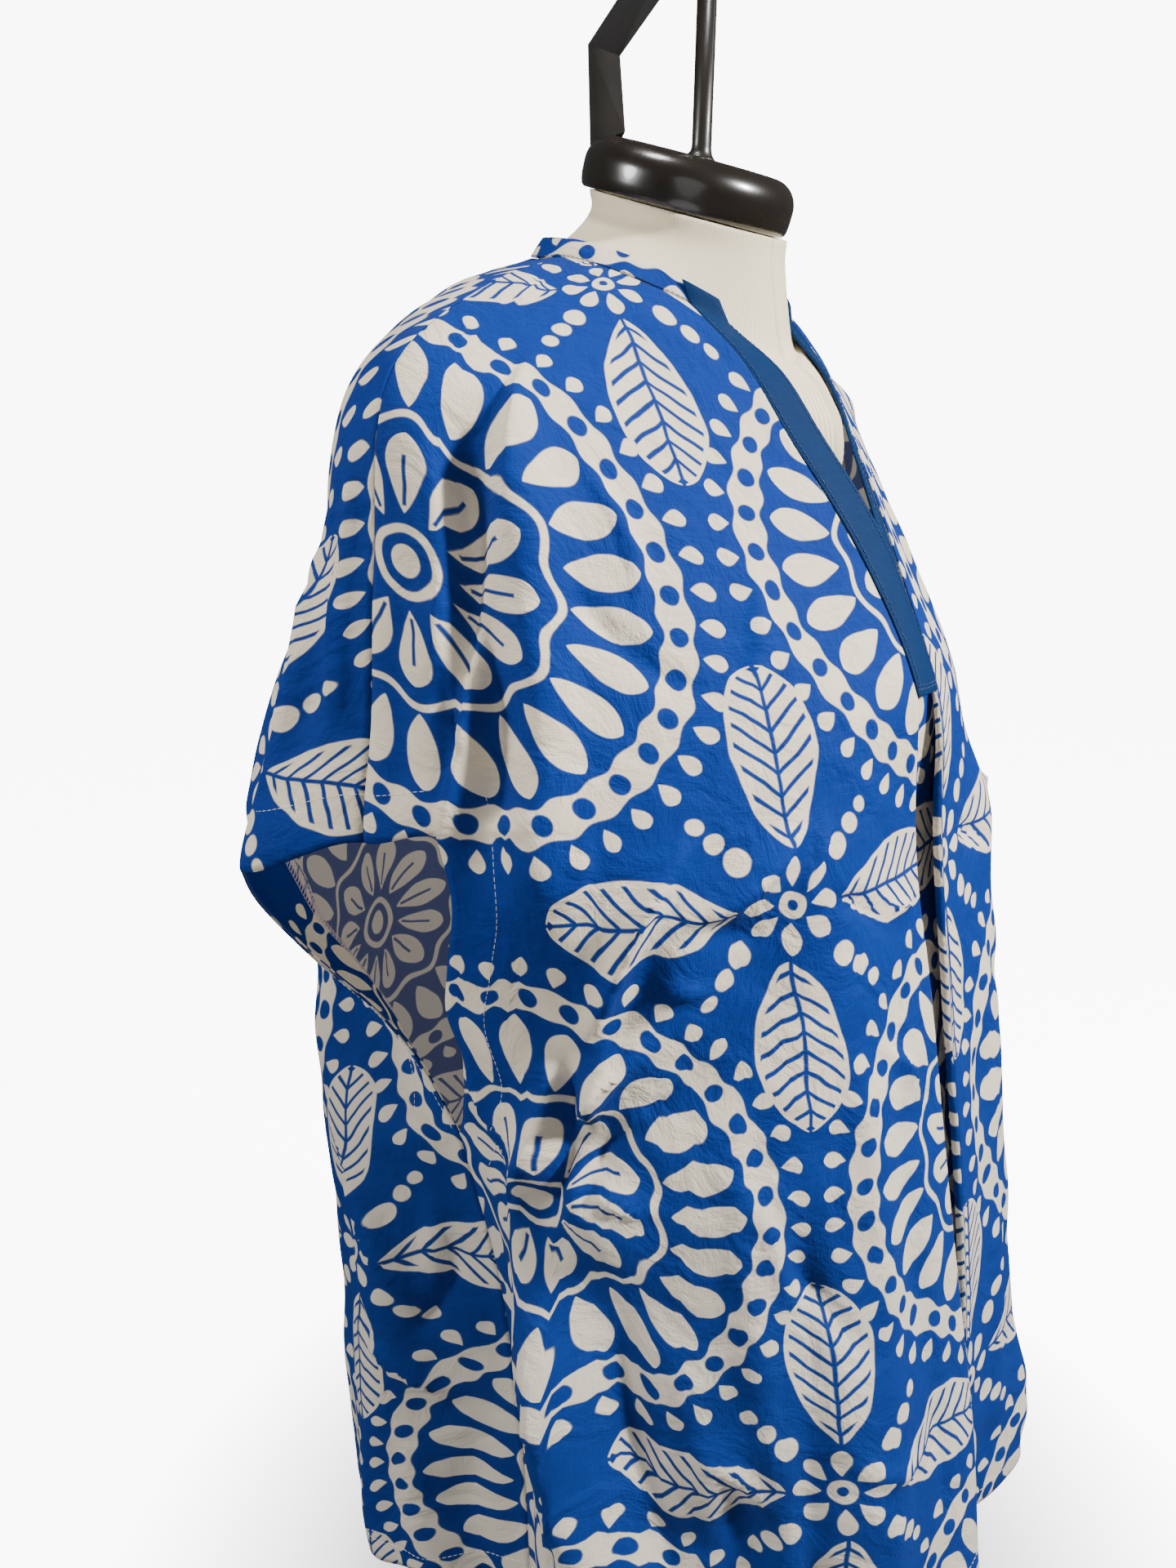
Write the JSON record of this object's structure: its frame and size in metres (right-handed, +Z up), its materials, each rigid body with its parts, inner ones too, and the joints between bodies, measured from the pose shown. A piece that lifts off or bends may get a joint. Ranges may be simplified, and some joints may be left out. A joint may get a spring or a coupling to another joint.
{
  "type": "v-neck top on a dress form",
  "caption": "Loose pull-on v-neck top with cut-in-one short sleeves and an inverted front pleat, worn by a limbless dress form on a pole stand.",
  "frame": {"origin": "middle of the whole part's outline, on the floor under the base", "axes": "+Z up along the pole, the front of the top faces -Y, +X to the wearer's left"},
  "size_m": [0.5133, 0.4335, 1.1371],
  "materials": {
    "printed_cloth": "woven cotton and linen, printed in blue on off-white",
    "plain_band": "plain blue woven cotton",
    "form_cover": "cream ribbed knit",
    "cap": "glossy dark brown",
    "stand_metal": "satin dark brown paint"
  },
  "bodies": {
    "root": {"front": "printed_cloth", "back": "printed_cloth", "neckband": "printed_cloth", "v_band_right": "plain_band", "v_band_left": "plain_band", "form_torso": "form_cover", "neck_cap": "cap", "handle_bar": "stand_metal", "handle_rod": "stand_metal", "pole": "stand_metal", "base": "stand_metal"}
  },
  "joints": []
}
